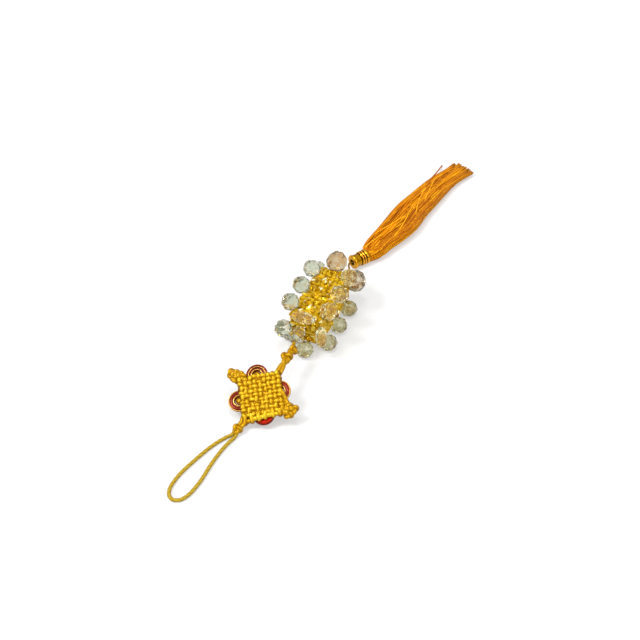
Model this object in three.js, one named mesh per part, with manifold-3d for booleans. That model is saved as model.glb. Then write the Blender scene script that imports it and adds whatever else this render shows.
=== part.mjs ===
// A beaded tassel lying on a flat surface, in millimetres, +Z up. +X runs from the hanging loop to the tassel.
// A cord loop and a knot lead to a woven square knot with four lacquered rings, which leans up to a square
// block of small amber beads set with clear faceted beads. A cord joins the block to a metal cap and its tassel.
import * as THREE from "three";
import { mergeVertices } from "three/addons/utils/BufferGeometryUtils.js";
import Module from "manifold-3d";

const wasm = await Module();
wasm.setup();

// Driving dimensions
const GAP = 0.3; // clearance between two pieces that touch
const ORIGIN = { x: 24.495, y: -2.514 }; // middle of the box under everything but the hanging loop

const CORD_RADIUS = 0.9;
const THREAD_CORD_RADIUS = 0.6; // the thinner cord that carries the tassel

const WEAVE_SIDE = 21; // the woven square knot
const WEAVE_THICK = 5.6;
const WEAVE_CELLS = 9; // cords across each way
const WEAVE_GROOVE = 0.8; // depth beside a cord
const WEAVE_HOLE = 1.3; // depth where four cords meet

const RING_RADIUS = 5.2;
const RING_THICK = 2;
const RING_EYE = 2.2; // the cord passes through here
const EYE_CORD_RADIUS = 1.8;

const AMBER_LENGTH = 39.6; // the block of small beads
const AMBER_WIDTH = 16.8;
const AMBER_ALONG = 9; // small beads each way
const AMBER_ACROSS = 4;
const AMBER_RELIEF = 1.1; // depth between the small beads
const AMBER_EDGE = 0.5; // how far the block's edges are drawn in
const EDGE_OFFSET = 9.85; // clear bead centres, from the block's axis each way
const LEVEL_PITCH = 13.8; // clear beads along an edge
const END_REACH = 22.7; // clear beads round an end face, along the axis
const BEAD_RADIUS = 4.1;
const BEAD_SIDES = 8;
const BEAD_POLE = 0.94; // half height over the flat facets, as a share of the radius

const CAP_RADIUS = 3.9;
const CAP_LENGTH = 10.2;
const CAP_HOLE = 1.5;
const CAP_MOUTH = 3.2;
const MOUTH_DEPTH = 1.5;

const STRAND_RADIUS = 0.36;
const STRAND_STEPS = 8;
const ROOT_OVERLAP = 1.5; // each strand starts this far inside the head

// Places, measured from under the middle of the whole length
const AXIS_HEIGHT = EDGE_OFFSET + BEAD_RADIUS * BEAD_POLE;
const BLOCK_CENTRE = new THREE.Vector3(-11.8, 2.9, AXIS_HEIGHT);
const BLOCK_HEADING = THREE.MathUtils.degToRad(9.6);
const KNOT_CENTRE = new THREE.Vector3(-76.5, -4.9, 9.5);
const KNOT_ACROSS = new THREE.Vector3(0.574, -0.796, 0.185); // along the side nearest the loop
const KNOT_UP = new THREE.Vector3(0.691, 0.583, 0.426);
const LOOP_KNOT = new THREE.Vector3(-95.6, -3.7, 2.6);
const CAP_HOLE_END = new THREE.Vector3(35.9, 12.5, CAP_RADIUS);
const CAP_HEADING = THREE.MathUtils.degToRad(-22);

const UP = new THREE.Vector3(0, 0, 1);
const AXIS = new THREE.Vector3(Math.cos(BLOCK_HEADING), Math.sin(BLOCK_HEADING), 0);
const ACROSS = new THREE.Vector3(Math.sin(BLOCK_HEADING), -Math.cos(BLOCK_HEADING), 0);
const CAP_AXIS = new THREE.Vector3(Math.cos(CAP_HEADING), Math.sin(CAP_HEADING), 0);

// Materials
function material(color, roughness, metalness = 0) {
  return new THREE.MeshStandardMaterial({ color, roughness, metalness });
}
const CORD = material(0xd9a414, 0.6);
const THREAD = material(0xe8960f, 0.55);
const CLEAR = material(0xc4cbb8, 0.08);
const AMBER = material(0xd8a012, 0.15);
const METAL = material(0xd09a2a, 0.3, 1);
const LACQUER = material(0x9c2410, 0.25);

// Helpers
function solidOf(geometry) {
  const bare = geometry.clone();
  bare.deleteAttribute("normal");
  bare.deleteAttribute("uv");
  const merged = mergeVertices(bare, 1e-4);
  return new wasm.Manifold(
    new wasm.Mesh({
      numProp: 3,
      vertProperties: merged.attributes.position.array,
      triVerts: new Uint32Array(merged.index.array),
    }),
  );
}

function geometryOf(solid) {
  const mesh = solid.getMesh();
  return new THREE.BufferGeometry()
    .setAttribute("position", new THREE.BufferAttribute(new Float32Array(mesh.vertProperties), 3))
    .setIndex(new THREE.BufferAttribute(new Uint32Array(mesh.triVerts), 1));
}

function join(geometries) {
  return geometries.map(solidOf).reduce((all, next) => all.add(next));
}

// A frame at origin whose Z runs along direction
function facing(origin, direction) {
  const turn = new THREE.Quaternion().setFromUnitVectors(UP, direction.clone().normalize());
  return new THREE.Matrix4().compose(origin, turn, new THREE.Vector3(1, 1, 1));
}

function polygon(radius, sides) {
  const corners = Array.from({ length: sides }, (_, k) => {
    const angle = (2 * Math.PI * (k + 0.5)) / sides - Math.PI / 2;
    return new THREE.Vector2(radius * Math.cos(angle), radius * Math.sin(angle));
  });
  return new THREE.Shape(corners);
}

// A curve whose section keeps upright, so that a flat side stays level
class UprightCurve extends THREE.CatmullRomCurve3 {
  computeFrenetFrames(steps) {
    const frames = { tangents: [], normals: [], binormals: [] };
    for (let k = 0; k <= steps; k++) {
      const tangent = this.getTangentAt(k / steps);
      const side = new THREE.Vector3().crossVectors(UP, tangent).normalize();
      frames.tangents.push(tangent);
      frames.normals.push(side);
      frames.binormals.push(new THREE.Vector3().crossVectors(tangent, side));
    }
    return frames;
  }
}

function tube(points, radius, sides, steps) {
  return new THREE.ExtrudeGeometry(polygon(radius, sides), {
    extrudePath: new UprightCurve(points),
    steps,
    bevelEnabled: false,
  });
}

function lathe(profile, sides) {
  const points = profile.map(([r, h]) => new THREE.Vector2(r, h));
  return new THREE.LatheGeometry(points, sides).rotateX(Math.PI / 2);
}

// A lump of wrapped cord, ridged round its axis
function ridgedKnot(centre, direction, length, radius) {
  const profile = [
    [0, -0.5],
    [0.55, -0.5],
    [0.88, -0.33],
    [0.72, -0.17],
    [1, 0],
    [0.72, 0.17],
    [0.88, 0.33],
    [0.55, 0.5],
    [0, 0.5],
  ].map(([r, h]) => [r * radius, h * length]);
  return lathe(profile, 10).applyMatrix4(facing(centre, direction));
}

// The woven square: crossing cords are raised pads, long one way and then the other
function weave() {
  const segments = 3 * WEAVE_CELLS;
  const slab = new THREE.BoxGeometry(WEAVE_SIDE, WEAVE_SIDE, WEAVE_THICK, segments, segments, 2);
  const place = slab.attributes.position;
  const pitch = WEAVE_SIDE / WEAVE_CELLS;
  const padLong = 0.38 * pitch;
  const padShort = 0.22 * pitch;
  for (let k = 0; k < place.count; k++) {
    const face = Math.sign(place.getZ(k)) * Number(Math.abs(place.getZ(k)) > 0.1);
    if (!face) continue;
    const column = Math.round((place.getX(k) / WEAVE_SIDE + 0.5) * segments);
    const row = Math.round((place.getY(k) / WEAVE_SIDE + 0.5) * segments);
    const onSide = column % 3 === 0;
    const onEnd = row % 3 === 0;
    const cell = [Math.floor(column / 3), Math.floor(row / 3)];
    const lengthways = (cell[0] + cell[1]) % 2 === 0;
    if (onSide || onEnd) {
      place.setZ(k, face * (WEAVE_THICK / 2 - (onSide && onEnd ? WEAVE_HOLE : WEAVE_GROOVE)));
      continue;
    }
    const middle = cell.map((c) => (c + 0.5) * pitch - WEAVE_SIDE / 2);
    const toRight = column % 3 === 2 ? 1 : -1;
    const toTop = row % 3 === 2 ? 1 : -1;
    place.setX(k, middle[0] + toRight * (lengthways ? padLong : padShort));
    place.setY(k, middle[1] + toTop * (lengthways ? padShort : padLong));
  }
  return slab;
}

// Knotted cord: the woven square with a pocket for each ring, its corner knots and the links at both ends
const KNOT_FRAME = new THREE.Matrix4()
  .makeBasis(
    KNOT_ACROSS.clone().normalize(),
    KNOT_UP.clone().normalize(),
    new THREE.Vector3().crossVectors(KNOT_ACROSS, KNOT_UP).normalize(),
  )
  .setPosition(KNOT_CENTRE);
const onKnot = (x, y, z = 0) => new THREE.Vector3(x, y, z).applyMatrix4(KNOT_FRAME);

const HALF = WEAVE_SIDE / 2;
const RINGS = [
  { name: "side_ring_far", x: -0.8, y: HALF - 0.3 },
  { name: "side_ring_near", x: 0, y: -HALF + 1 },
  { name: "side_ring_left", x: -HALF, y: -0.8 },
  { name: "side_ring_right", x: HALF - 1.8, y: 0.3 },
];

// Lumps at the two free corners: place and direction in the knot's plane
const CORNER_KNOTS = [
  { x: -10.2, y: 11.4, dx: -0.64, dy: 0.77, length: 7.4, radius: 2.7 },
  { x: 12.9, y: -9.5, dx: 0.96, dy: -0.28, length: 6.2, radius: 2.2 },
  { x: 11.0, y: -10.8, dx: 0.25, dy: -0.97, length: 5.6, radius: 2.0 },
];

const LINK = [
  onKnot(HALF - 1.5, HALF - 1.5),
  new THREE.Vector3(-60, -5.8, 15.2),
  new THREE.Vector3(-53, -3.9, 14.2),
  new THREE.Vector3(-47.2, -3.2, 13.9),
  new THREE.Vector3(-42.3, -1.2, 13.8),
];
const LINK_KNOTS = [
  { at: LINK[2], length: 6.4, radius: 2.5 },
  { at: LINK[3], length: 5.4, radius: 2.3 },
];

function knottedCord() {
  const pocket = new THREE.CylinderGeometry(
    RING_RADIUS + GAP + 0.1,
    RING_RADIUS + GAP + 0.1,
    RING_THICK + 2 * GAP,
    16,
  ).rotateX(Math.PI / 2);
  let square = solidOf(weave());
  for (const ring of RINGS) square = square.subtract(solidOf(pocket.clone().translate(ring.x, ring.y, 0)));
  const eye = new THREE.CylinderGeometry(EYE_CORD_RADIUS, EYE_CORD_RADIUS, 3.6, 8).rotateX(Math.PI / 2);
  for (const ring of RINGS) square = square.add(solidOf(eye.clone().translate(ring.x, ring.y, 0)));
  square = solidOf(geometryOf(square).applyMatrix4(KNOT_FRAME));

  const nearCorner = onKnot(-HALF + 1.5, -HALF + 1.5);
  const neck = [-1, 1].map((side) =>
    tube(
      [
        nearCorner.clone().addScaledVector(KNOT_ACROSS, side),
        nearCorner.clone().lerp(LOOP_KNOT, 0.5).add(new THREE.Vector3(0.4, -side - 0.6, 0)),
        LOOP_KNOT.clone().add(new THREE.Vector3(0, -side, 0)),
      ],
      CORD_RADIUS,
      8,
      4,
    ),
  );
  const farCorner = LINK[0];
  const strands = [-1, 1].map((side) =>
    tube(
      [
        farCorner.clone().addScaledVector(KNOT_ACROSS, side),
        LINK[1].clone().add(new THREE.Vector3(0, -side * 1.1, 0)),
        LINK[2].clone().add(new THREE.Vector3(0, -side * 0.7, 0)),
      ],
      CORD_RADIUS,
      8,
      5,
    ),
  );
  const lumps = [
    ridgedKnot(LOOP_KNOT, new THREE.Vector3(1, 0.1, 0), 5.4, 2.6),
    ...CORNER_KNOTS.map(({ x, y, dx, dy, length, radius }) =>
      ridgedKnot(onKnot(x, y), onKnot(dx, dy).sub(KNOT_CENTRE), length, radius),
    ),
    ...LINK_KNOTS.map(({ at, length, radius }) => ridgedKnot(at, AXIS, length, radius)),
  ];
  const lastStretch = tube(LINK.slice(2), CORD_RADIUS * 1.2, 8, 4);
  return geometryOf([...neck, ...strands, ...lumps, lastStretch].map(solidOf).reduce((a, b) => a.add(b), square));
}

// Rings of red lacquer between gold rims, with an eye for the cord
function sideRing() {
  const half = RING_THICK / 2;
  const profile = [
    [RING_EYE, -half],
    [RING_RADIUS - 0.5, -half],
    [RING_RADIUS, 0],
    [RING_RADIUS - 0.5, half],
    [RING_RADIUS - 0.9, half - 0.4],
    [RING_EYE + 1.3, half - 0.4],
    [RING_EYE + 0.9, half],
    [RING_EYE, half],
    [RING_EYE, -half],
  ];
  return lathe(profile, 16);
}

// Cord loop for hanging, both legs leaving the knot side by side and lying on the surface
const LOOP_ROUTE = [
  [-98.9, -2.0],
  [-101.3, -0.9],
  [-105.3, 0.4],
  [-110.0, 1.5],
  [-116.2, 2.4],
  [-121.8, 3.0],
  [-128.2, 3.5],
  [-134.0, 3.3],
  [-138.9, 2.4],
  [-142.4, 0.4],
  [-143.8, -2.6],
  [-141.9, -5.6],
  [-137.4, -6.9],
  [-132.0, -6.9],
  [-126.8, -6.4],
  [-120.4, -5.3],
  [-114.5, -4.5],
  [-107.7, -4.0],
  [-102.6, -4.1],
  [-98.9, -4.5],
];

function hangingLoop() {
  const points = LOOP_ROUTE.map(([x, y]) => new THREE.Vector3(x, y, CORD_RADIUS + 0.02));
  return tube(points, CORD_RADIUS, 8, 48);
}

// Clear faceted beads, each round its own pole
function faceted(radius, stretch = 1) {
  const profile = [
    [0, -BEAD_POLE],
    [0.42, -BEAD_POLE],
    [0.84, -0.54],
    [1, 0],
    [0.84, 0.54],
    [0.42, BEAD_POLE],
    [0, BEAD_POLE],
  ].map(([r, h]) => [r * radius, h * radius * stretch]);
  return lathe(profile, BEAD_SIDES);
}

// Along is from the block's centre on its axis, side and rise are across it
function inBlock(along, side, rise) {
  return BLOCK_CENTRE.clone()
    .addScaledVector(AXIS, along)
    .addScaledVector(ACROSS, side)
    .addScaledVector(UP, rise);
}

const outward = (along, side, rise) => inBlock(along, side, rise).sub(BLOCK_CENTRE);
const BLOCK_END = AMBER_LENGTH / 2;
const BEADS = [];
for (const [level, along] of [
  ["first", -LEVEL_PITCH],
  ["middle", 0],
  ["last", LEVEL_PITCH],
]) {
  for (const [edge, side, rise] of [
    ["top_left", -1, 1],
    ["top_right", 1, 1],
    ["low_right", 1, -1],
    ["low_left", -1, -1],
  ]) {
    BEADS.push({
      name: `bead_${edge}_${level}`,
      at: inBlock(along, side * EDGE_OFFSET, rise * EDGE_OFFSET),
      pole: rise < 0 ? UP : ACROSS.clone().multiplyScalar(side).add(UP),
      radius: BEAD_RADIUS,
    });
  }
}
// Beads round the two end faces: along, side and rise from the block's centre, with the way each pole points
for (const { name, along, side, rise, pole, radius = BEAD_RADIUS, stretch = 1 } of [
  { name: "top_knot_end", along: -21.9, side: 0.3, rise: 9.3, pole: ACROSS, radius: 2.75, stretch: 2.1 },
  { name: "right_knot_end", along: -21.9, side: 9.3, rise: 0, pole: UP, radius: 2.75, stretch: 2.1 },
  { name: "low_knot_end", along: -END_REACH, side: 1, rise: -EDGE_OFFSET, pole: UP },
  { name: "left_knot_end", along: -END_REACH, side: -EDGE_OFFSET, rise: 0, pole: outward(-1, -1, 0) },
  { name: "top_tassel_end", along: END_REACH, side: 0, rise: EDGE_OFFSET, pole: outward(1, 0, 1), radius: 4.4 },
  { name: "right_tassel_end", along: END_REACH, side: 10.1, rise: 1, pole: outward(1, 1, 0), radius: 4.6 },
  { name: "low_tassel_end", along: END_REACH, side: 0, rise: -EDGE_OFFSET, pole: UP },
  { name: "corner_tassel_end", along: 20.8, side: -8.4, rise: 6.4, pole: outward(1, -1, 1), radius: 2.3 },
]) {
  BEADS.push({ name: `bead_${name}`, at: inBlock(along, side, rise), pole, radius, stretch });
}
const ENTRY_BEAD = { name: "bead_entry", at: inBlock(-22.55, -1.8, 0), pole: AXIS, radius: 2.9 };
const LINK_BEAD = { name: "bead_link", at: new THREE.Vector3(-39.6, 0.1, AXIS_HEIGHT), pole: AXIS, radius: 2.3 };
BEADS.push(ENTRY_BEAD, LINK_BEAD);

const beadShape = (bead, extra = 0) =>
  faceted(bead.radius + extra, bead.stretch).applyMatrix4(facing(bead.at, bead.pole));

// Block of small amber beads: a bead shows as a pyramid in each cell of its faces, cut back where a clear bead sits
function amberBlock() {
  const sizes = [AMBER_LENGTH, AMBER_WIDTH, AMBER_WIDTH];
  const beads = [AMBER_ALONG, AMBER_ACROSS, AMBER_ACROSS];
  const block = new THREE.BoxGeometry(...sizes, ...beads.map((count) => 2 * count));
  const place = block.attributes.position;
  const point = new THREE.Vector3();
  for (let k = 0; k < place.count; k++) {
    const corner = point.fromBufferAttribute(place, k).toArray();
    const atFace = corner.map((v, axis) => Math.abs(v) > sizes[axis] / 2 - 1e-3);
    const faces = atFace.filter(Boolean).length;
    const onPeak = corner.every(
      (v, axis) => atFace[axis] || Math.round((2 * beads[axis] * (v + sizes[axis] / 2)) / sizes[axis]) % 2 === 1,
    );
    if (faces === 1 && onPeak) continue;
    const depth = faces === 1 ? AMBER_RELIEF : AMBER_EDGE;
    place.setXYZ(k, ...corner.map((v, axis) => (atFace[axis] ? v - Math.sign(v) * depth : v)));
  }
  const turn = new THREE.Matrix4().makeRotationZ(BLOCK_HEADING).setPosition(BLOCK_CENTRE);
  let solid = solidOf(block.applyMatrix4(turn));
  for (const bead of BEADS) solid = solid.subtract(solidOf(beadShape(bead, GAP + 0.1)));
  return geometryOf(solid);
}

// Metal cap: bell end with its hole, a plain waist and three raised rings at the mouth
function cap() {
  const L = CAP_LENGTH;
  const R = CAP_RADIUS;
  const profile = [
    [0, 2.2],
    [CAP_HOLE, 2.2],
    [CAP_HOLE, 0],
    [0.84 * R, 0],
    [0.96 * R, 0.5],
    [0.86 * R, 2.4],
    [0.84 * R, 0.52 * L],
    [0.97 * R, 0.56 * L],
    [0.97 * R, 0.62 * L],
    [0.87 * R, 0.66 * L],
    [0.98 * R, 0.71 * L],
    [0.98 * R, 0.77 * L],
    [0.88 * R, 0.81 * L],
    [R, 0.86 * L],
    [R, L],
    [CAP_MOUTH, L],
    [CAP_MOUTH, L - MOUTH_DEPTH],
    [0, L - MOUTH_DEPTH],
  ];
  return lathe(profile, 16).applyMatrix4(facing(CAP_HOLE_END, CAP_AXIS));
}

// Cord from the block's far end, between the beads and down into the cap's hole
function tasselCord() {
  const start = inBlock(BLOCK_END - AMBER_RELIEF + 2 * GAP, 0, 0);
  const inHole = CAP_HOLE_END.clone().addScaledVector(CAP_AXIS, 1.6).add(new THREE.Vector3(0, 0, -0.5));
  const points = [
    start,
    new THREE.Vector3(11.2, 4.8, 12.9),
    new THREE.Vector3(16.5, 4.2, 9.0),
    new THREE.Vector3(22.5, 6.0, 5.5),
    new THREE.Vector3(28.5, 9.6, 4.2),
    CAP_HOLE_END.clone().addScaledVector(CAP_AXIS, -2).add(new THREE.Vector3(0, 0, -0.1)),
    inHole,
  ];
  return tube(points, THREAD_CORD_RADIUS, 8, 14);
}

// Tassel: sections from the cap's mouth to the cut ends, x and y on the centre line, with width and height
const SECTIONS = [
  { x: 51.5, y: 9.3, width: 11.8, height: 7.4 },
  { x: 58.5, y: 9.0, width: 13.4, height: 7.6 },
  { x: 68.0, y: 8.0, width: 16.0, height: 7.6 },
  { x: 79.0, y: 7.7, width: 18.2, height: 7.4 },
  { x: 92.0, y: 8.7, width: 17.8, height: 6.8 },
  { x: 104.0, y: 8.4, width: 16.6, height: 6.2 },
  { x: 117.0, y: 8.0, width: 15.0, height: 5.6 },
  { x: 127.0, y: 7.2, width: 13.4, height: 5.0 },
  { x: 136.0, y: 5.2, width: 12.4, height: 4.6 },
  { x: 146.0, y: 2.8, width: 14.4, height: 4.2 },
];
const ROWS = [
  { strands: 15, level: 0, spread: 1 },
  { strands: 15, level: 0.22, spread: 0.99 },
  { strands: 14, level: 0.44, spread: 0.92 },
  { strands: 12, level: 0.65, spread: 0.78 },
  { strands: 9, level: 0.85, spread: 0.58 },
  { strands: 5, level: 1, spread: 0.32 },
];
const CUT_LENGTHS = [0, 3.5, 1.2, 5.4, 2.2, 0.6, 4.4, 1.8, 6.8, 2.8, 0.3, 3.9, 1.5]; // short of the last section

// The centre line and section at a share of the way along
const centreLine = new THREE.CatmullRomCurve3(SECTIONS.map(({ x, y }) => new THREE.Vector3(x, y, 0)));
const sizeLine = new THREE.CatmullRomCurve3(
  SECTIONS.map(({ width, height }) => new THREE.Vector3(width, height, 0)),
);

function strand(row, share, cut) {
  const reach = 1 - cut / (SECTIONS.at(-1).x - SECTIONS[0].x);
  const points = Array.from({ length: STRAND_STEPS + 1 }, (_, k) => {
    const t = (k / STRAND_STEPS) * reach;
    const point = centreLine.getPoint(t);
    const tangent = centreLine.getTangent(t);
    const size = sizeLine.getPoint(t);
    const side = (share * row.spread * (size.x - 2 * STRAND_RADIUS)) / 2;
    const floor = STRAND_RADIUS / 2;
    const rise = floor + row.level * (size.y - 1.5 * STRAND_RADIUS);
    return new THREE.Vector3(point.x - tangent.y * side, point.y + tangent.x * side, rise);
  });
  return tube(points, STRAND_RADIUS, 3, STRAND_STEPS);
}

// The roots spread from the round mouth to the flat-bottomed section where the strands part
function head(from, first) {
  const outline = [...ROWS.map((row) => [1, row]), ...ROWS.toReversed().map((row) => [-1, row])];
  const turn = (2 * Math.PI) / outline.length;
  const start = (turn - Math.PI) / 2;
  const near = CAP_MOUTH + 0.1;
  const shape = new THREE.CylinderGeometry(1, 1, 1, outline.length, 1, false, start);
  const place = shape.attributes.position;
  for (let k = 0; k < place.count; k++) {
    const far = place.getY(k) > 0;
    const [across, rise] = [place.getZ(k), place.getX(k)];
    const [side, row] = outline[Math.round((Math.atan2(rise, across) - start) / turn + outline.length) % outline.length];
    const middle = Math.hypot(across, rise) < 0.1;
    if (!far) {
      place.setXYZ(k, from.x - CAP_AXIS.y * near * across, from.y + CAP_AXIS.x * near * across, from.z + near * rise);
      continue;
    }
    const y = middle ? 0 : (side * row.spread * first.width) / 2;
    const z = middle ? first.height / 2 : row.level * first.height;
    place.setXYZ(k, first.x + ROOT_OVERLAP, first.y + y, z);
  }
  return shape;
}

function tassel() {
  const mouth = CAP_HOLE_END.clone().addScaledVector(CAP_AXIS, CAP_LENGTH);
  const first = SECTIONS[0];
  const stem = [
    [0, GAP - MOUTH_DEPTH],
    [CAP_MOUTH - GAP, GAP - MOUTH_DEPTH],
    [CAP_MOUTH - GAP, 1.6],
    [0, 1.6],
  ];
  const parts = [lathe(stem, 12).applyMatrix4(facing(mouth, CAP_AXIS))];
  parts.push(head(mouth.clone().addScaledVector(CAP_AXIS, GAP), first));
  let cutIndex = 0;
  for (const row of ROWS) {
    for (let k = 0; k < row.strands; k++) {
      const share = (2 * k) / (row.strands - 1) - 1;
      parts.push(strand(row, share, CUT_LENGTHS[cutIndex % CUT_LENGTHS.length]));
      cutIndex += 1;
    }
  }
  return geometryOf(join(parts));
}

// Assembly
const assembly = new THREE.Group();
assembly.position.set(-ORIGIN.x, -ORIGIN.y, 0);

function addPiece(name, geometry, pieceMaterial, parent = assembly) {
  const mesh = new THREE.Mesh(geometry, pieceMaterial);
  mesh.name = name;
  parent.add(mesh);
}

addPiece("hanging_loop", hangingLoop(), CORD);
addPiece("knotted_cord", knottedCord(), CORD);
for (const ring of RINGS) {
  const shape = sideRing().translate(ring.x, ring.y, 0).applyMatrix4(KNOT_FRAME);
  addPiece(ring.name, shape, LACQUER);
}
for (const bead of BEADS) addPiece(bead.name, beadShape(bead), CLEAR);
addPiece("amber_block", amberBlock(), AMBER);
addPiece("tassel_cord", tasselCord(), THREAD);
addPiece("tassel_cap", cap(), METAL);
addPiece("tassel", tassel(), THREAD);

const group = new THREE.Group();
group.add(assembly);
export default group;
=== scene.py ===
# A beaded tassel lying on a pale surface, in metres, +Z up: a hanging loop, a woven knot with four
# lacquered rings, a block of amber beads set with clear ones, a metal cap and its tassel.
import math
import random

import bpy
from mathutils import Matrix, Vector


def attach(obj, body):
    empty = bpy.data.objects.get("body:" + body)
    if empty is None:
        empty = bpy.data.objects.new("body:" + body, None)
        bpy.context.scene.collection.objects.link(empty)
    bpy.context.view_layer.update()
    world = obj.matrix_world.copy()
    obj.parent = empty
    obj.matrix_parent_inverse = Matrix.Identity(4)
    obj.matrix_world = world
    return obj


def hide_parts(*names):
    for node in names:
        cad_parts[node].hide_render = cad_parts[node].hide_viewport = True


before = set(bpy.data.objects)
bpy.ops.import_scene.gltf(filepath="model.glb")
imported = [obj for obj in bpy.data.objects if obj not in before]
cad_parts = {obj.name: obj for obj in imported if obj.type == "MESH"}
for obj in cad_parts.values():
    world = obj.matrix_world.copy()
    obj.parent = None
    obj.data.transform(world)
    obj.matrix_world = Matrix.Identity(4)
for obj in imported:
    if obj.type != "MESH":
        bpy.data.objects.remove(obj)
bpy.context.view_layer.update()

MM = 0.001
ORIGIN = Vector((24.495, -2.514, 0))  # mm, the object's middle in the measurements below
UP = Vector((0, 0, 1))
TURN = 2 * math.pi
rng = random.Random(7)


def heading(degrees):
    return Vector((math.cos(math.radians(degrees)), math.sin(math.radians(degrees)), 0))


# Places and sizes in millimetres
CORD = 0.9
LOOP_HEIGHT = CORD + 0.02
PLIES = 3
LOOP_PITCH = 3.0
LOOP_GROOVE = 0.035
AXIS_HEIGHT = 13.704
BLOCK_CENTRE = Vector((-11.8, 2.9, AXIS_HEIGHT))
AXIS = heading(9.6)
ACROSS = AXIS.cross(UP)
KNOT_CENTRE = Vector((-76.5, -4.9, 9.5))
KNOT_ACROSS = Vector((0.574, -0.796, 0.185)).normalized()
KNOT_UP = Vector((0.691, 0.583, 0.426)).normalized()
KNOT_OUT = KNOT_ACROSS.cross(KNOT_UP).normalized()
LOOP_KNOT = Vector((-95.6, -3.7, 2.6))
CAP_START = Vector((35.9, 12.5, 3.9))
CAP_AXIS = heading(-22)
HALF = 10.5


def in_block(along, side, rise):
    return BLOCK_CENTRE + AXIS * along + ACROSS * side + UP * rise


def on_knot(x, y, z=0.0):
    return KNOT_CENTRE + KNOT_ACROSS * x + KNOT_UP * y + KNOT_OUT * z


def metres(point):
    return (point - ORIGIN) * MM


# Camera
camera = bpy.data.objects.new("camera", bpy.data.cameras.new("camera"))
bpy.context.collection.objects.link(camera)
camera.data.lens = 78.8
camera.data.sensor_width = 36
camera.data.clip_start = 0.01
camera.location = metres(Vector((-459.5, -269.9, 458.6)))
looking = metres(Vector((-7.9, 5.3, 0))) - camera.location
camera.rotation_euler = looking.to_track_quat("-Z", "Y").to_euler()
bpy.context.scene.camera = camera


# Materials
def material(name, **sockets):
    made = bpy.data.materials.new(name)
    made.use_nodes = True
    shader = made.node_tree.nodes["Principled BSDF"]
    for socket, value in sockets.items():
        shader.inputs[socket.replace("_", " ")].default_value = value
    return made


def node(made, kind, **values):
    new = made.node_tree.nodes.new(kind)
    for key, value in values.items():
        if hasattr(new, key):
            setattr(new, key, value)
        else:
            new.inputs[key.replace("_", " ")].default_value = value
    return new


def link(made, source, output, target, socket):
    made.node_tree.links.new(source.outputs[output], target.inputs[socket])


def shader_of(made):
    return made.node_tree.nodes["Principled BSDF"]


def ramp(made, stops):
    new = node(made, "ShaderNodeValToRGB")
    bar = new.color_ramp.elements
    while len(bar) < len(stops):
        bar.new(0.5)
    for element, (place, colour) in zip(bar, stops):
        element.position = place
        element.color = (*colour, 1)
    return new


# Fine fibres that run round and along a tube, from its own length and turn
def fibres(made, along, around, strength, distance):
    uv = node(made, "ShaderNodeUVMap", uv_map="run")
    place = node(made, "ShaderNodeMapping")
    place.inputs["Scale"].default_value = (along, around, 1)
    wave = node(made, "ShaderNodeTexWave", bands_direction="DIAGONAL", Distortion=1.5, Detail=2.0)
    wave.inputs["Scale"].default_value = 1.0
    bump = node(made, "ShaderNodeBump", Strength=strength, Distance=distance)
    link(made, uv, "UV", place, "Vector")
    link(made, place, "Vector", wave, "Vector")
    link(made, wave, "Fac", bump, "Height")
    link(made, bump, "Normal", shader_of(made), "Normal")


# Colour from the shade kept at each corner, varied by a noise
# On cords, rings and the cap that shade is painted shade and painted highlights; on beads and threads it is
# mostly a tone that differs at random
def depth_colour(made, stops, scale, mix=0.35):
    shade = node(made, "ShaderNodeAttribute", attribute_name="shade")
    place = node(made, "ShaderNodeTexCoord")
    noise = node(made, "ShaderNodeTexNoise", Scale=scale, Detail=3.0)
    blend = node(made, "ShaderNodeMix", data_type="FLOAT", Factor=mix)
    tint = ramp(made, stops)
    link(made, place, "Object", noise, "Vector")
    made.node_tree.links.new(shade.outputs["Fac"], blend.inputs[2])
    made.node_tree.links.new(noise.outputs["Fac"], blend.inputs[3])
    made.node_tree.links.new(blend.outputs[0], tint.inputs["Fac"])
    link(made, tint, "Color", shader_of(made), "Base Color")


WARM_GLOSS = (1, 0.8, 0.3, 1)


def cord_material(name, stops, roughness, metallic, gloss=0.5, along=2.2, around=5.027):
    made = material(name, Roughness=roughness, Metallic=metallic)
    shader_of(made).inputs["Specular IOR Level"].default_value = gloss
    shader_of(made).inputs["Specular Tint"].default_value = WARM_GLOSS
    depth_colour(made, stops, 900)
    fibres(made, along, around, 0.4, 0.0002)
    return made


KNOT_CORD = cord_material(
    "knot_cord",
    [
        (0.08, (0.12, 0.032, 0.0003)),
        (0.35, (0.34, 0.15, 0.0006)),
        (0.62, (0.49, 0.26, 0.0014)),
        (0.9, (0.72, 0.47, 0.016)),
    ],
    0.24,
    0.4,
)
LOOP_CORD = cord_material(
    "loop_cord",
    [(0.15, (0.28, 0.18, 0.007)), (0.85, (0.47, 0.31, 0.020))],
    0.42,
    0.2,
)
THREAD = cord_material(
    "tassel_thread",
    [
        (0.08, (0.34, 0.08, 0.0002)),
        (0.35, (0.54, 0.16, 0.0003)),
        (0.65, (0.79, 0.275, 0.0004)),
        (0.92, (1.0, 0.54, 0.010)),
    ],
    0.32,
    0.3,
    0.25,
    0.45,
    1.257,
)
# The cord to the cap is painted dark brown as painted shade; the cord itself is gold like the others
CAP_CORD_PAINTED_SHADE = cord_material("cap_cord", [(0.2, (0.10, 0.04, 0.003)), (0.8, (0.30, 0.15, 0.010))], 0.5, 0.1)


def glass_material(name, stops, transmission, roughness=0.02, metallic=0.0, mix=0.14):
    made = material(name, Roughness=roughness, Metallic=metallic, IOR=1.54)
    shader_of(made).inputs["Transmission Weight"].default_value = transmission
    depth_colour(made, stops, 700, mix)
    return made


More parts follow.
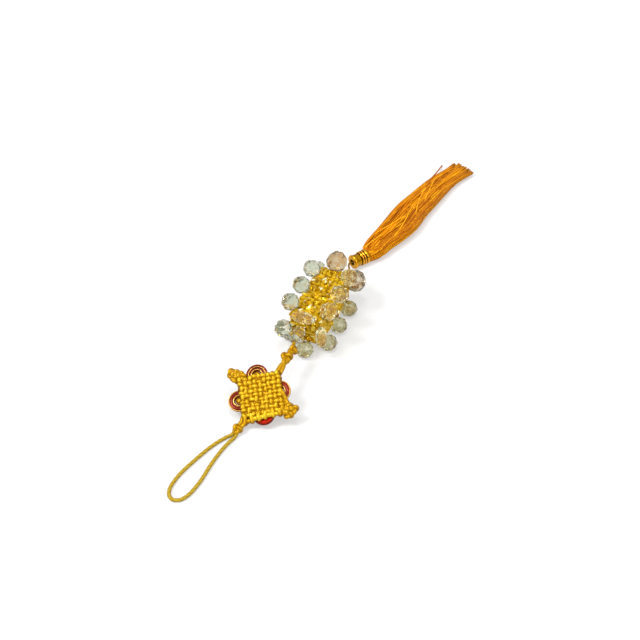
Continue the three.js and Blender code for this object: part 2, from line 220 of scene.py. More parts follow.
CLEAR = glass_material(
    "clear_glass",
    [
        (0.1, (0.58, 0.34, 0.08)),
        (0.3, (0.50, 0.53, 0.40)),
        (0.7, (0.57, 0.62, 0.48)),
        (0.92, (0.76, 0.70, 0.58)),
    ],
    0.96,
)
BLUSH = glass_material(
    "blush_glass",
    [
        (0.1, (0.97, 0.80, 0.30)),
        (0.4, (0.98, 0.89, 0.50)),
        (0.7, (1.0, 0.95, 0.66)),
        (0.92, (1.0, 1.0, 0.92)),
    ],
    0.97,
)
shader_of(BLUSH).inputs["IOR"].default_value = 1.4
ROSE = glass_material(
    "rose_glass",
    [
        (0.1, (0.56, 0.36, 0.15)),
        (0.4, (0.53, 0.44, 0.28)),
        (0.7, (0.60, 0.54, 0.40)),
        (0.92, (0.73, 0.68, 0.60)),
    ],
    0.95,
)
OLIVE = glass_material(
    "olive_glass",
    [
        (0.1, (0.46, 0.31, 0.07)),
        (0.4, (0.60, 0.58, 0.32)),
        (0.7, (0.76, 0.74, 0.48)),
        (0.92, (0.98, 0.95, 0.74)),
    ],
    0.94,
)
# Amber glass; its top stop is the near-white colour of painted glints
AMBER = glass_material(
    "amber_glass",
    [
        (0.1, (0.30, 0.125, 0.001)),
        (0.35, (0.58, 0.33, 0.001)),
        (0.65, (0.77, 0.49, 0.005)),
        (0.84, (0.95, 0.70, 0.08)),
        (0.96, (1.0, 0.97, 0.62)),
    ],
    0.3,
    0.08,
    0.45,
    0.3,
)
shader_of(AMBER).inputs["Specular Tint"].default_value = WARM_GLOSS
METAL_GRAIN = 1500


def metal_material(name, stops, roughness):
    made = material(name, Metallic=1.0, Roughness=roughness)
    depth_colour(made, stops, METAL_GRAIN, 0.25)
    place = node(made, "ShaderNodeTexCoord")
    noise = node(made, "ShaderNodeTexNoise", Scale=METAL_GRAIN, Detail=4.0)
    bump = node(made, "ShaderNodeBump", Strength=0.12, Distance=0.0001)
    link(made, place, "Object", noise, "Vector")
    link(made, noise, "Fac", bump, "Height")
    link(made, bump, "Normal", shader_of(made), "Normal")
    return made


GOLD = metal_material(
    "gold_rim", [(0.1, (0.08, 0.02, 0.002)), (0.5, (0.34, 0.15, 0.02)), (0.9, (0.60, 0.35, 0.09))], 0.3
)
BRASS = metal_material(
    "cap_metal",
    [
        (0.12, (0.035, 0.004, 0.0004)),
        (0.4, (0.26, 0.10, 0.002)),
        (0.7, (0.62, 0.30, 0.004)),
        (0.95, (0.98, 0.45, 0.06)),
    ],
    0.24,
)
LACQUER = material("red_lacquer", Roughness=0.18, Specular_IOR_Level=0.5, Specular_Tint=(1, 0.3, 0.2, 1))
depth_colour(
    LACQUER,
    [(0.1, (0.04, 0.003, 0.0005)), (0.5, (0.16, 0.008, 0.0005)), (0.9, (0.46, 0.008, 0.001))],
    500,
    0.3,
)


# What makes up a piece's mesh: its corners with a shade each, and its faces with their place along and
# round the cord and their material slot
class Gather:
    def __init__(self):
        self.corners = []
        self.faces = []
        self.runs = []
        self.shades = []
        self.slots = []

    def add(self, corners, faces, runs, shades, slots):
        base = len(self.corners)
        self.corners += corners
        self.faces += [[base + c for c in face] for face in faces]
        self.runs += runs
        self.shades += shades
        self.slots += slots


def piece(name, gather, materials, rounded=True):
    mesh = bpy.data.meshes.new(name)
    mesh.from_pydata([metres(c) for c in gather.corners], [], gather.faces)
    for made in materials:
        mesh.materials.append(made)
    layer = mesh.uv_layers.new(name="run")
    flat = [pair for face in gather.runs for pair in face]
    for loop, pair in zip(layer.data, flat):
        loop.uv = pair
    shade = mesh.attributes.new("shade", "FLOAT", "POINT")
    shade.data.foreach_set("value", gather.shades)
    for polygon, slot in zip(mesh.polygons, gather.slots):
        polygon.use_smooth = rounded
        polygon.material_index = slot
    mesh.update()
    made = bpy.data.objects.new(name, mesh)
    bpy.context.collection.objects.link(made)
    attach(made, "root")
    return made


# Points on a smooth curve through the given ones
def smooth(points, steps, closed=False):
    count = len(points)
    out = []
    for k in range(count if closed else count - 1):
        if closed:
            a, b, c, d = (points[(k + n) % count] for n in (-1, 0, 1, 2))
        else:
            a, b, c, d = (points[min(max(k + n, 0), count - 1)] for n in (-1, 0, 1, 2))
        for s in range(steps):
            t = s / steps
            square = (2 * a - 5 * b + 4 * c - d) * t * t
            cube = (3 * b - a - 3 * c + d) * t**3
            out.append(0.5 * (2 * b + (c - a) * t + square + cube))
    if not closed:
        out.append(points[-1].copy())
    return out


# A tube along points, with plies that twist round it and its shade from shade(share, angle, corner)
def tube(gather, points, radius, sides=10, plies=0, pitch=6.0, depth=0.1, closed=False, shade=None, slot=0):
    count = len(points)
    if closed:
        ways = [(points[(k + 1) % count] - points[k - 1]).normalized() for k in range(count)]
    else:
        ways = [(points[min(k + 1, count - 1)] - points[max(k - 1, 0)]).normalized() for k in range(count)]
    seed = UP if abs(ways[0].z) < 0.9 else Vector((1, 0, 0))
    normal = ways[0].cross(seed).normalized()
    corners = []
    shades = []
    travelled = [0.0]
    for k in range(count):
        normal = (normal - ways[k] * normal.dot(ways[k])).normalized()
        across = ways[k].cross(normal)
        if k:
            travelled.append(travelled[-1] + (points[k] - points[k - 1]).length)
        share = k / (count - 1)
        size = radius(share) if callable(radius) else radius
        twist = TURN * travelled[k] / pitch
        for s in range(sides):
            angle = TURN * s / sides
            reach = size * (1 - depth * (0.5 - 0.5 * math.cos(plies * angle - twist))) if plies else size
            corners.append(points[k] + (normal * math.cos(angle) + across * math.sin(angle)) * reach)
            # Without a shade function: painted shade in the grooves between plies and a painted highlight
            # on their crests
            painted_ply_shade = 0.5 + 0.4 * math.cos(plies * angle - twist) if plies else 0.7
            shades.append(shade(share, angle, corners[-1]) if shade else painted_ply_shade)
    faces = []
    runs = []
    for k in range(count if closed else count - 1):
        ahead = (k + 1) % count
        start = travelled[k]
        end = travelled[ahead] if ahead else start + (points[0] - points[-1]).length
        for s in range(sides):
            t = (s + 1) % sides
            faces.append([k * sides + s, k * sides + t, ahead * sides + t, ahead * sides + s])
            here, there = s / sides, (s + 1) / sides
            runs.append([(start, here), (start, there), (end, there), (end, here)])
    if not closed:
        last = (count - 1) * sides
        faces += [list(range(sides))[::-1], list(range(last, last + sides))]
        runs += [[(0, 0)] * sides] * 2
    gather.add(corners, faces, runs, shades, [slot] * len(faces))


# The same shade all over
def even(value):
    return lambda share, angle, corner: value


# A turned shape about a direction; each row of its profile has a radius, height, shade and slot
def turned(gather, centre, direction, profile, sides, closed=False):
    turn = UP.rotation_difference(direction).to_matrix()
    corners = []
    shades = []
    for radius, height, shade, _ in profile:
        for s in range(sides):
            angle = TURN * s / sides
            place = Vector((radius * math.cos(angle), radius * math.sin(angle), height))
            corners.append(centre + turn @ place)
            shades.append(shade)
    faces = []
    runs = []
    slots = []
    rows = len(profile)
    for k in range(rows if closed else rows - 1):
        ahead = (k + 1) % rows
        for s in range(sides):
            t = (s + 1) % sides
            faces.append([k * sides + s, k * sides + t, ahead * sides + t, ahead * sides + s])
            runs.append([(k, s), (k, s + 1), (k + 1, s + 1), (k + 1, s)])
        slots += [profile[k][3]] * sides
    if not closed:
        last = (rows - 1) * sides
        faces += [list(range(sides))[::-1], list(range(last, last + sides))]
        runs += [[(0, 0)] * sides] * 2
        slots += [profile[0][3], profile[-1][3]]
    gather.add(corners, faces, runs, shades, slots)


# Hanging loop, a cord
LOOP_ROUTE = [
    (-98.9, -2.0), (-101.3, -0.9), (-105.3, 0.4), (-110.0, 1.5), (-116.2, 2.4),
    (-121.8, 3.0), (-128.2, 3.5), (-134.0, 3.3), (-138.9, 2.4), (-142.4, 0.4),
    (-143.8, -2.6), (-141.9, -5.6), (-137.4, -6.9), (-132.0, -6.9), (-126.8, -6.4),
    (-120.4, -5.3), (-114.5, -4.5), (-107.7, -4.0), (-102.6, -4.1), (-98.9, -4.5),
]
loop_places = [Vector((x, y, LOOP_HEIGHT)) for x, y in LOOP_ROUTE]
loop_points = smooth(loop_places, 8)
gather = Gather()
tube(gather, smooth(loop_places, 18), CORD, 14, PLIES, LOOP_PITCH, LOOP_GROOVE)
loop = piece("loop_cord", gather, [LOOP_CORD])
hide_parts("hanging_loop")

# Woven square: nine cords each way, on two levels, each cord going over and under and round the edge
CELLS = 9
PITCH = 2.2
WOVEN_CORD = 1.07
LEVEL = 0.98
SWING = 0.78
PAINTED_SHADE_BELOW = 1.35
PAINTED_HIGHLIGHT_OVER = 1.5
gather = Gather()


# Painted shade deep in the weave and a painted highlight on top of it
def woven_shade(share, angle, corner):
    height = abs((corner - KNOT_CENTRE).dot(KNOT_OUT))
    return min(max((height - PAINTED_SHADE_BELOW) / PAINTED_HIGHLIGHT_OVER, 0), 1)


for lengthways in (True, False):
    for lane in range(CELLS):
        offset = (lane - (CELLS - 1) / 2) * PITCH
        route = []
        for level in (1, -1):
            order = range(CELLS) if level > 0 else range(CELLS - 1, -1, -1)
            for cell in order:
                along = (cell - (CELLS - 1) / 2) * PITCH
                over = 1 if (lane + cell + (0 if lengthways else 1)) % 2 else -1
                wander = rng.uniform(-0.4, 0.4)
                rise = level * (LEVEL + over * SWING + rng.uniform(-0.2, 0.28))
                route.append((along + rng.uniform(-0.3, 0.3), offset + wander, rise))
            edge = level * (HALF - WOVEN_CORD + rng.uniform(-0.1, 0.1))
            route.append((edge, offset + rng.uniform(-0.15, 0.15), level * 0.9))
            route.append((edge, offset + rng.uniform(-0.15, 0.15), -level * 0.9))
        points = [on_knot(a, b, c) if lengthways else on_knot(b, a, c) for a, b, c in route]
        tube(gather, smooth(points, 5, True), WOVEN_CORD, 9, closed=True, shade=woven_shade)


# Cords run straight through the middle of the square, under both woven faces, kept dark as painted shade
for lane in range(CELLS - 1):
    offset = (lane - (CELLS - 2) / 2) * PITCH
    for level in (-0.75, 0.75):
        ends = [on_knot(along, offset, level) for along in (-HALF + 1.6, 0, HALF - 1.6)]
        tube(gather, smooth(ends, 8), 1.05, 10, shade=even(0.22))


# A length of twisted cord
def loose(gather, points, radius):
    tube(gather, smooth(points, 10), radius, 12, PLIES, 4.0, 0.08, shade=even(0.66))


TOWARDS = Vector((-0.62, -0.36, 0.7))
TIE_SWING = 1.3
TIE_STEPS = 48
TIE_CORE = [(0.036, -1.44), (1.26, -1.08), (1.8, 0), (1.26, 1.08), (0.036, 1.44)]


# A knot tied in the cord: three lobes that pass over and under each other, round a middle painted dark as
# painted shade
def tied(gather, centre, size, cord, start):
    turn = UP.rotation_difference(TOWARDS).to_matrix() @ Matrix.Rotation(start, 3, "Z")
    points = []
    for k in range(TIE_STEPS):
        t = TURN * k / TIE_STEPS
        x = math.sin(t) + 2 * math.sin(2 * t)
        y = math.cos(t) - 2 * math.cos(2 * t)
        z = -TIE_SWING * math.sin(3 * t)
        points.append(centre + turn @ Vector((x, y, z)) * size)

    # Painted highlight on the lobes' side towards TOWARDS and painted shade on the far side
    def painted_height_light(share, angle, corner):
        rise = (corner - centre).dot(TOWARDS.normalized()) / (size * TIE_SWING + cord)
        return min(max(0.29 + 0.36 * rise, 0), 1)

    tube(gather, points, cord, 12, closed=True, shade=painted_height_light)
    turned(gather, centre, TOWARDS, [(r * size, h * size, 0.1, 0) for r, h in TIE_CORE], 10)


tied(gather, LOOP_KNOT + Vector((0.4, 0, 0.2)), 0.62, 0.92, 0.4)

# Corner knots: their place on the square, their size, the thickness of their cord and their turn
CORNER_TIES = [
    (-12.4, 13.3, 0.0, 0.6, 0.95, 0.3),
    (-10.9, 13.0, 0.3, 0.55, 0.95, 1.0),
    (-11.2, 11.4, 0.5, 0.6, 0.98, 2.3),
    (-9.2, 12.0, 0.2, 0.6, 0.98, 2.9),
    (-10.4, 9.9, 0.4, 0.6, 0.98, 1.6),
    (-8.2, 10.6, 0.8, 0.6, 0.98, 0.6),
    (13.9, -9.6, 0.0, 0.6, 0.92, 0.9),
    (12.0, -8.9, 0.4, 0.6, 0.95, 1.9),
    (11.3, -11.6, 0.0, 0.58, 0.92, 0.2),
    (9.9, -9.4, 0.8, 0.6, 0.98, 2.6),
]
for x, y, z, size, cord, start in CORNER_TIES:
    tied(gather, on_knot(x, y, z), size, cord, start)

# One more row along the lower edge: a cord in waves over the near ring, and a turn of cord across each
# trough
LOWER_EDGE = [
    (-9.9, -10.2, 0.4), (-8.7, -11.7, 0.2), (-7.1, -11.8, 1.3), (-5.6, -11.5, 0.8), (-3.9, -11.4, 2.3),
    (-2.3, -11.2, 1.5), (-0.6, -11.3, 2.6), (1.0, -10.9, 1.5), (2.7, -11.0, 2.5), (4.3, -10.7, 1.2),
    (6.0, -10.8, 1.7), (7.6, -10.5, 0.4), (9.4, -10.3, 1.0), (10.6, -9.8, 0.2),
]
edge_route = smooth([on_knot(x, y, z) for x, y, z in LOWER_EDGE], 6)
tube(gather, edge_route, 1.1, 10, shade=woven_shade)
for x, y, z in LOWER_EDGE[1::2]:
    lean = rng.uniform(-0.5, 0.5)
    turn_points = [
        on_knot(x - lean, -9.0, 1.7),
        on_knot(x, y + 1.0, z + 1.3),
        on_knot(x + lean, y - 0.5, z + 0.9),
        on_knot(x + lean, y - 0.9, z),
    ]
    tube(gather, smooth(turn_points, 6), 1.05, 10, shade=woven_shade)

# Pairs of cords: from the loop to its knot, from there to the square, and from the square to the link knots
near_corner = on_knot(-HALF + 1.5, -HALF + 1.5)
far_corner = on_knot(HALF - 1.5, HALF - 1.5)
middle = near_corner.lerp(LOOP_KNOT, 0.5) + Vector((0.4, -0.6, 0))
LINK = [Vector(p) for p in ((-60, -5.8, 15.2), (-53, -3.9, 14.2), (-47.2, -3.2, 13.9), (-42.3, -1.2, 13.8))]
for side in (-1, 1):
    shift = Vector((0, -side, 0))
    end = Vector((-99.1, -3.2 - 1.28 * side, LOOP_HEIGHT))
    lead = end + Vector((1.3, -0.35 * (1 - side), 0.25))
    in_tie = LOOP_KNOT + shift * 0.8
    loose(gather, [near_corner + KNOT_ACROSS * side, middle + shift * 0.85, in_tie], 1.02)
    tube(gather, smooth([in_tie, lead, end], 10), 0.86, 14, PLIES, LOOP_PITCH, LOOP_GROOVE, slot=1)
    twist = Vector((0, 0, 0.5 * side))
    crossing = LINK[0].lerp(LINK[1], 0.55) - shift * 0.5 + twist
    loose(gather, [far_corner + KNOT_ACROSS * side, LINK[0] + shift * 0.75, crossing, LINK[1]], 1.08)

# Two strands along the right edge
for strand in (
    ((9.2, 1.0, 0.9), (10.1, -1.4, 2.0), (11.1, -4.4, 1.9), (12.0, -7.2, 0.8)),
    ((9.8, -3.0, 0.6), (10.6, -5.6, 0.9), (11.2, -8.4, 0.4)),
):
    loose(gather, [on_knot(*place) for place in strand], 0.95)

# Link knots and the cord through them
tied(gather, LINK[1], 0.76, 0.98, 0.9)
tied(gather, LINK[2] + Vector((0.2, -0.3, 0.2)), 0.6, 0.92, 2.0)
loose(gather, [LINK[1] + Vector((0, -0.5, 0)), LINK[2], LINK[3]], 0.9)
loose(gather, [LINK[1] + Vector((0, 0.5, 0.3)), LINK[2] + Vector((0.3, 0.9, 0.3)), LINK[3]], 0.8)

# Rings: where each sits on the square, how light its lacquer is painted, as painted light and shade, and
# the look of its face
RINGS = [
    ("far", -0.8, 10.2, 0.34, "lined"),
    ("near", 0, -9.5, 0.95, "plain"),
    ("left", -10.5, -0.8, 0.36, "banded"),
    ("right", 8.7, 0.3, 0.4, "banded"),
]

# A cord passes through each ring: a round end in an eye, painted dark round its waist as painted shade and
# light on top as a painted highlight
EYE = [(0.02, 1.35), (0.5, 1.3), (0.85, 1.0), (0.9, 0.5), (0.95, 0.32), (1.4, 0.3), (1.8, 0.2)]
EYE_PAINTED_SHADES = [0.95, 0.9, 0.7, 0.2, 0.0, 0.0, 0.05]
for _, x, y, _, _ in RINGS:
    profile = [(r, -h, s, 0) for (r, h), s in zip(EYE, EYE_PAINTED_SHADES)]
    profile += [(r, h, s, 0) for (r, h), s in zip(EYE[::-1], EYE_PAINTED_SHADES[::-1])]
    turned(gather, on_knot(x, y), KNOT_OUT, profile, 20)
knot = piece("knot_cords", gather, [KNOT_CORD, LOOP_CORD])
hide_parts("knotted_cord")

# The rings' profiles, for three looks of the face: radius, height, shade, and gold (0) or lacquer (1)
# Their shades are painted shade in grooves, round the eye and on the outer rim, and painted highlights on
# ridges and tops
RING_BACK = [(1.95, -0.7, 0.0, 1), (2.4, -0.95, 0.5, 0), (4.8, -0.95, 0.5, 0), (5.1, -0.5, 0.1, 0)]
RING_EYE = [
    (2.8, 0.8, 0.7, 0), (2.6, 0.95, 1.0, 0), (2.35, 0.85, 0.5, 0), (2.15, 0.3, 0.0, 1), (1.95, 0.2, 0.0, 1),
]
RING_FACES = {
    "banded": [
        (5.2, 0.0, 0.1, 0), (5.14, 0.45, 0.5, 0), (4.96, 0.68, 1.0, 0), (4.74, 0.62, 0.6, 0),
        (4.6, 0.4, 0.0, 1), (4.35, 0.6, 0.7, 1), (3.8, 0.76, 1.0, 1), (3.3, 0.62, 0.6, 1),
        (2.95, 0.36, 0.0, 0), *RING_EYE,
    ],
    "lined": [
        (5.2, 0.0, 0.2, 1), (5.12, 0.5, 0.8, 1), (4.8, 0.74, 1.2, 1), (4.4, 0.7, 0.7, 1),
        (4.2, 0.5, 0.0, 0), (4.08, 0.85, 1.0, 0), (3.9, 0.9, 1.0, 0), (3.72, 0.6, 0.0, 1),
        (3.3, 0.5, 0.5, 1), (2.95, 0.36, 0.0, 1), *RING_EYE,
    ],
    "plain": [
        (5.2, 0.0, 0.0, 1), (5.12, 0.5, 0.15, 1), (4.8, 0.8, 0.45, 1), (4.1, 1.05, 1.0, 1),
        (3.3, 1.05, 1.0, 1), (2.6, 0.85, 0.7, 1), (2.15, 0.5, 0.3, 1), (1.95, 0.2, 0.1, 1),
    ],
}
for name, x, y, tone, look in RINGS:
    gather = Gather()
    # tone lightens or darkens the lacquer ring by ring, as painted light and shade
    profile = [(r, h, s * tone if slot else s, slot) for r, h, s, slot in RING_BACK + RING_FACES[look]]
    turned(gather, on_knot(x, y), KNOT_OUT, profile, 56, True)
    ring = piece(f"ring_{name}", gather, [GOLD, LACQUER])
    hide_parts(f"side_ring_{name}")

# Clear beads: where each sits, how its pole points, its size and which glass it is
EDGE_OFFSET = 9.85
LEVEL_PITCH = 13.8
END = 22.7
EDGE_BEAD = 4.1
CLEAR_BEADS = []
for level, along in (("first", -LEVEL_PITCH), ("middle", 0), ("last", LEVEL_PITCH)):
    for edge, side, rise, glass in (
        ("top_left", -1, 1, CLEAR),
        ("top_right", 1, 1, BLUSH),
        ("low_right", 1, -1, OLIVE),
        ("low_left", -1, -1, CLEAR),
    ):
        pole = UP if rise < 0 else ACROSS * side + UP
        place = in_block(along, side * EDGE_OFFSET, rise * EDGE_OFFSET)
        CLEAR_BEADS.append((f"bead_{edge}_{level}", place, pole, EDGE_BEAD, 1.0, glass))
for name, along, side, rise, pole, radius, stretch, glass in (
    ("top_knot_end", -21.9, 0.3, 9.3, ACROSS, 2.75, 2.1, BLUSH),
    ("right_knot_end", -21.9, 9.3, 0, UP, 2.75, 2.1, BLUSH),
    ("low_knot_end", -END, 1, -EDGE_OFFSET, UP, EDGE_BEAD, 1, OLIVE),
    ("left_knot_end", -END, -EDGE_OFFSET, 0, ACROSS - AXIS, EDGE_BEAD, 1, CLEAR),
    ("top_tassel_end", 23.2, -0.3, 9.9, AXIS + UP, 4.9, 1.05, ROSE),
    ("right_tassel_end", END, 10.2, 1.2, UP, 4.8, 1.15, ROSE),
    ("low_tassel_end", END, 0, -EDGE_OFFSET, UP, EDGE_BEAD, 1, CLEAR),
    ("corner_tassel_end", 20.8, -8.4, 6.4, AXIS - ACROSS + UP, 2.3, 1, CLEAR),
):
    CLEAR_BEADS.append((f"bead_{name}", in_block(along, side, rise), pole, radius, stretch, glass))
CLEAR_BEADS.append(("bead_entry", in_block(-22.55, -1.8, 0), AXIS, 2.9, 1, BLUSH))
CLEAR_BEADS.append(("bead_link", Vector((-39.6, 0.1, AXIS_HEIGHT)), AXIS, 2.3, 1, CLEAR))


# The facets of a bead: rows of corners, each turned half a step, joined by flat three-cornered facets, and
# a flat end at each pole
def faceted(centre, pole, radius, stretch, sides, rows):
    turn = UP.rotation_difference(pole).to_matrix()
    start = rng.uniform(0, TURN)
    rings = []
    for k, (reach, height) in enumerate(rows):
        ring = []
        for s in range(sides):
            angle = start + TURN * (s + 0.5 * (k % 2)) / sides
            corner = Vector((reach * math.cos(angle), reach * math.sin(angle), height * stretch))
            ring.append(centre + turn @ (corner * radius))
        rings.append(ring)
    faces = []
    for k in range(len(rings) - 1):
        for s in range(sides):
            t = (s + 1) % sides
            a, b, c, d = rings[k][s], rings[k][t], rings[k + 1][s], rings[k + 1][t]
            faces += [(a, b, c), (b, d, c)] if k % 2 == 0 else [(a, b, d), (a, d, c)]
    return faces + [tuple(rings[0][::-1]), tuple(rings[-1])]


BEAD_ROWS = [(0.34, -0.93), (0.8, -0.62), (1.02, -0.1), (0.86, 0.5), (0.36, 0.92)]
BEAD_SWELL = 1.1  # flat facets lie a little inside the round bead
BEAD_SIDES = 8


# Each facet has its own corners and one shade
def facets_to(gather, faces, low, high):
    for face in faces:
        count = len(face)
        shade = rng.uniform(low, high)
        gather.add(list(face), [list(range(count))], [[(0, 0)] * count], [shade] * count, [0])


# The beads under the block keep their height, because they rest on the surface
for name, place, pole, radius, stretch, glass in CLEAR_BEADS:
    gather = Gather()
    under = place.z < AXIS_HEIGHT - 5
    height = stretch / BEAD_SWELL if under else stretch
    facets_to(gather, faceted(place, pole, radius * BEAD_SWELL, height, BEAD_SIDES, BEAD_ROWS), 0.0, 1.0)
    bead = piece(f"{name}_glass", gather, [glass], False)
    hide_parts(name)

# Amber beads: threaded in a block, pushed apart by the clear beads and by each other. They keep apart by a
# share of their width, and sink a little into the clear beads' seats.
AMBER_RADIUS = 1.9
AMBER_COUNT = (13, 6, 6)
AMBER_STEP = (3.1, 2.8, 2.8)
AMBER_APART = 2 * AMBER_RADIUS * 0.68
AMBER_SEAT = AMBER_RADIUS * 0.6
BLOCK_HALF = (19.9, 8.5, 8.5)
ROUNDS = 8
places = []
for i in range(AMBER_COUNT[0]):
    for j in range(AMBER_COUNT[1]):
        for k in range(AMBER_COUNT[2]):
            steps = [n - (count - 1) / 2 for n, count in zip((i, j, k), AMBER_COUNT)]
            spot = Vector([step * n for step, n in zip(AMBER_STEP, steps)])
            places.append(spot + Vector([rng.uniform(-0.4, 0.4) for _ in range(3)]))
taken = []
for _, place, _, radius, stretch, _ in CLEAR_BEADS:
    away = place - BLOCK_CENTRE
    taken.append((Vector((away.dot(AXIS), away.dot(ACROSS), away.z)), radius))
for _ in range(ROUNDS):
    for n, spot in enumerate(places):
        for other in places[:n]:
            gap = spot - other
            short = AMBER_APART - gap.length
            if short > 0:
                gap.normalize()
                spot += gap * short * 0.5
                other -= gap * short * 0.5
        for middle, radius in taken:
            gap = spot - middle
            short = radius + AMBER_SEAT - gap.length
            if short > 0:
                spot += gap.normalized() * short
        for axis in range(3):
            limit = BLOCK_HALF[axis] - AMBER_RADIUS + 0.1
            spot[axis] = min(max(spot[axis], -limit), limit)
gather = Gather()
AMBER_ROWS = [(0.24, -0.84), (0.94, -0.14), (0.94, 0.14), (0.24, 0.84)]
PAINTED_GLINT_SHARE = 0.07  # the share of facets painted near white as painted glints
for spot in places:
    pole = Vector([rng.uniform(-1, 1) for _ in range(3)]).normalized()
    centre = in_block(spot.x, spot.y, spot.z)
    for facet in faceted(centre, pole, AMBER_RADIUS, 1.25, 6, AMBER_ROWS):
        low, high = (1.1, 1.3) if rng.random() < PAINTED_GLINT_SHARE else (0.0, 0.95)
        facets_to(gather, [facet], low, high)
amber = piece("amber_beads", gather, [AMBER], False)
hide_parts("amber_block")

# Cord from the block to the cap
route = [in_block(19.3, 0, 0)]
route += [Vector(p) for p in ((11.2, 4.8, 12.9), (16.5, 4.2, 9.0), (22.5, 6.0, 5.5), (28.5, 9.6, 4.2))]
route += [CAP_START - CAP_AXIS * 2 - UP * 0.1, CAP_START + CAP_AXIS * 1.6 - UP * 0.5]
gather = Gather()
tube(gather, smooth(route, 12), 0.5, 12, PLIES, 2.4, 0.1)
carrier = piece("cap_cord", gather, [CAP_CORD_PAINTED_SHADE])
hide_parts("tassel_cord")

# Metal cap: bell end with its hole, plain waist and three raised rings between grooves
# Its shades paint the hole and grooves dark as painted shade and the rings' tops light as painted
# highlights
CAP_PROFILE = [
    (0.02, 3.8, 0.0), (1.5, 3.8, 0.0), (1.5, 0.5, 0.0), (1.62, 0.08, 0.4), (1.9, 0.0, 0.7),
    (3.0, 0.05, 0.65), (3.5, 0.25, 0.8), (3.78, 0.6, 0.9), (3.76, 1.1, 0.7), (3.5, 1.8, 0.55),
    (3.4, 2.6, 0.6), (3.36, 3.8, 0.65), (3.36, 4.3, 0.3), (3.1, 4.5, 0.0), (3.1, 4.8, 0.0),
    (3.74, 5.0, 0.9), (3.82, 5.3, 1.1), (3.74, 5.6, 0.7), (3.1, 5.75, 0.0), (3.1, 6.2, 0.0),
    (3.76, 6.4, 0.9), (3.84, 6.7, 1.1), (3.76, 7.0, 0.7), (3.12, 7.15, 0.0), (3.12, 7.7, 0.0),
    (3.8, 7.9, 0.8), (3.9, 8.3, 0.95), (3.9, 8.8, 0.7), (3.8, 9.2, 0.5), (3.5, 9.4, 0.2), (3.2, 9.3, 0.0),
    (3.2, 7.9, 0.0), (0.02, 7.9, 0.0),
]
gather = Gather()
turned(gather, CAP_START, CAP_AXIS, [(*row, 0) for row in CAP_PROFILE], 72)
cap = piece("cap_shell", gather, [BRASS])
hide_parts("tassel_cap")

# Tassel: x and y of the middle line, with width and height
SECTIONS = [
    (44.6, 9.0, 6.0, 6.0), (46.6, 8.3, 8.0, 6.6), (48.4, 8.1, 10.8, 6.8), (51.5, 8.2, 13.0, 7.0),
    (58.5, 8.1, 14.6, 7.4), (68.0, 7.2, 16.8, 7.4), (79.0, 6.9, 18.8, 7.2), (92.0, 7.9, 18.4, 6.6),
    (104.0, 7.6, 17.2, 6.0), (117.0, 7.2, 15.7, 5.5), (127.0, 6.4, 14.2, 5.0), (136.0, 4.6, 13.2, 4.6),
    (146.0, 2.6, 15.0, 4.2),
]
line = smooth([Vector((x, y, 0)) for x, y, _, _ in SECTIONS], 4)
sizes = smooth([Vector((w, h, 0)) for _, _, w, h in SECTIONS], 4)
THREAD_RADIUS = 0.35
LOCKS = 52
LOCK_TURN = 0.382
THREADS = 14
STEPS = 34


# A point of the tassel from its share of the length, its side (-1 to 1) and its level (-1 to 1)
def in_tassel(share, side, level):
    place = max(min(share, 1), 0) * (len(line) - 1)
    low = min(int(place), len(line) - 2)
    middle = line[low].lerp(line[low + 1], place - low)
    size = sizes[low].lerp(sizes[low + 1], place - low)
    cross = UP.cross((line[low + 1] - line[low]).normalized())
    spread = max(math.hypot(side, level), 1)
    out = side / spread * (size.x / 2 - THREAD_RADIUS)
    rise = THREAD_RADIUS + (0.5 + 0.5 * level / spread) * (size.y - 2 * THREAD_RADIUS)
    return middle + cross * out + UP * rise


# Threads lie in locks that swing from side to side and flare towards the end; every third lock fills the
# middle
gather = Gather()
for lock in range(LOCKS):
    around = TURN * (lock * LOCK_TURN % 1)
    depth = rng.uniform(0.55, 0.95) if lock % 3 else rng.uniform(0.05, 0.6)
    swing = rng.uniform(0.08, 0.24) * rng.choice((-1, 1))
    waves = rng.uniform(0.5, 1.3)
    phase = rng.uniform(0, TURN)
    tone = rng.uniform(0.35, 0.75)
    length = 1 - abs(rng.gauss(0, 0.038))
    flare = rng.gauss(0, 0.12)
    scatter = 0.12 if lock % 3 else 0.34
    for _ in range(THREADS):
        side = depth * math.cos(around) + rng.gauss(0, scatter)
        level = depth * math.sin(around) + rng.gauss(0, 0.16)
        own_swing = rng.uniform(0.02, 0.07)
        own_waves = rng.uniform(1.5, 4.5)
        own_phase = rng.uniform(0, TURN)
        shade = min(max(tone + rng.uniform(-0.5, 0.5), 0.0), 1)
        end = length - abs(rng.gauss(0, 0.016))
        points = []
        for k in range(STEPS + 1):
            t = k / STEPS * end
            grow = min(t * 4, 1)
            bend = swing * math.sin(phase + TURN * waves * t) - swing * math.sin(phase)
            ripple = own_swing * math.sin(own_phase + TURN * own_waves * t)
            lean = own_swing * math.cos(own_phase + 1.3 * TURN * own_waves * t)
            out = flare * max(t - 0.75, 0) * 4
            points.append(in_tassel(t, side + grow * (bend + ripple) + out, level + grow * 1.6 * lean))
        tube(gather, points, THREAD_RADIUS, 3, shade=even(shade))

# Bright threads that cross over the others: where each starts and ends along and across the tassel
CROSSING = [
    (0.52, -0.55, 0.74, 0.35), (0.62, -0.35, 0.84, 0.55), (0.34, -0.6, 0.66, 0.05),
    (0.30, 0.75, 0.56, -0.05), (0.16, 0.7, 0.4, 0.1),
]
CROSSING_STEPS = 30
for start, side, end, other in CROSSING:
    points = []
    for k in range(CROSSING_STEPS + 1):
        share = k / CROSSING_STEPS
        hump = math.sin(math.pi * share)
        across = side + (other - side) * (share * share * (3 - 2 * share))
        top = math.sqrt(max(1 - across * across, 0.05)) * (0.75 + 0.35 * hump)
        points.append(in_tassel(start + (end - start) * share, across, top) + UP * 0.25 * hump)
    tube(gather, points, 0.37, 6, shade=even(0.9))

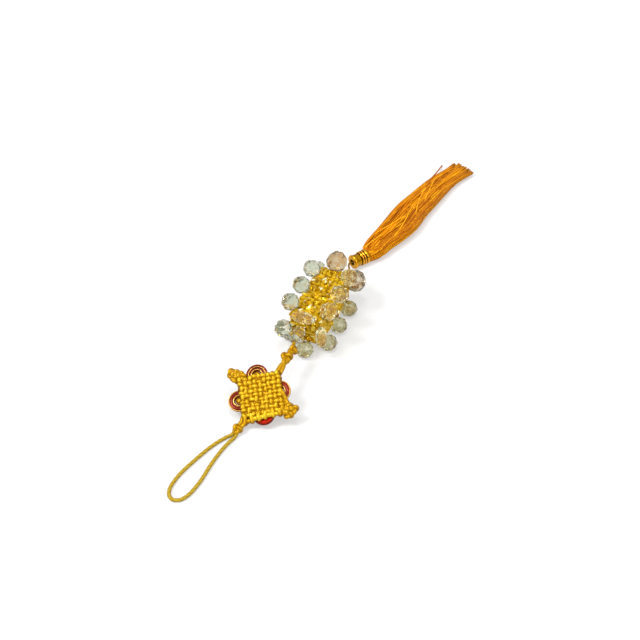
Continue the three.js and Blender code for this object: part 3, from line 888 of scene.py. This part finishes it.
# One stray thread beside the end
STRAY = ((113.8, 10.6, 4.7), (122.8, 12.2, 4.5), (132.8, 13.6, 2.8), (143.0, 15.6, 0.45))
stray = smooth([Vector(place) for place in STRAY], 8)
tube(gather, stray, 0.4, 6, shade=even(0.0))
tassel = piece("tassel_threads", gather, [THREAD])
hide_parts("tassel")

# Floor and light
floor_mesh = bpy.data.meshes.new("floor")
floor_mesh.from_pydata([(-4, -4, 0), (4, -4, 0), (4, 4, 0), (-4, 4, 0)], [], [(0, 1, 2, 3)])
floor = bpy.data.objects.new("floor", floor_mesh)
bpy.context.collection.objects.link(floor)
FLOOR = material("floor", Roughness=0.9, Emission_Color=(1, 1, 1, 1), Emission_Strength=0.42)
place = node(FLOOR, "ShaderNodeTexCoord")
noise = node(FLOOR, "ShaderNodeTexNoise", Scale=3.0)
tint = ramp(FLOOR, [(0.3, (0.37, 0.37, 0.37)), (0.7, (0.40, 0.40, 0.40))])
link(FLOOR, place, "Object", noise, "Vector")
link(FLOOR, noise, "Fac", tint, "Fac")
link(FLOOR, tint, "Color", shader_of(FLOOR), "Base Color")
floor_mesh.materials.append(FLOOR)

world = bpy.data.worlds.new("world")
world.use_nodes = True
bpy.context.scene.world = world
background = world.node_tree.nodes["Background"]
background.inputs["Strength"].default_value = 1.0
where = node(world, "ShaderNodeTexCoord")
split = node(world, "ShaderNodeSeparateXYZ")
sky = [(0.0, (0.36, 0.36, 0.37)), (0.3, (0.58, 0.58, 0.59)), (0.62, (0.9, 0.9, 0.9)), (1.0, (1, 1, 1))]
tint = ramp(world, sky)
link(world, where, "Generated", split, "Vector")
link(world, split, "Z", tint, "Fac")
link(world, tint, "Color", background, "Color")


def light(name, place, size, power):
    lamp = bpy.data.lights.new(name, "AREA")
    lamp.shape = "DISK"
    lamp.size = size
    lamp.energy = power
    made = bpy.data.objects.new(name, lamp)
    made.location = place
    made.rotation_euler = (-Vector(place)).to_track_quat("-Z", "Y").to_euler()
    bpy.context.collection.objects.link(made)


light("key", (-0.7, 0.5, 1.2), 0.45, 15)
light("fill", (-0.35, -0.95, 0.9), 0.7, 4.5)
light("spark", (-0.25, -0.1, 1.5), 0.15, 5)

bpy.context.scene.view_settings.view_transform = "Standard"
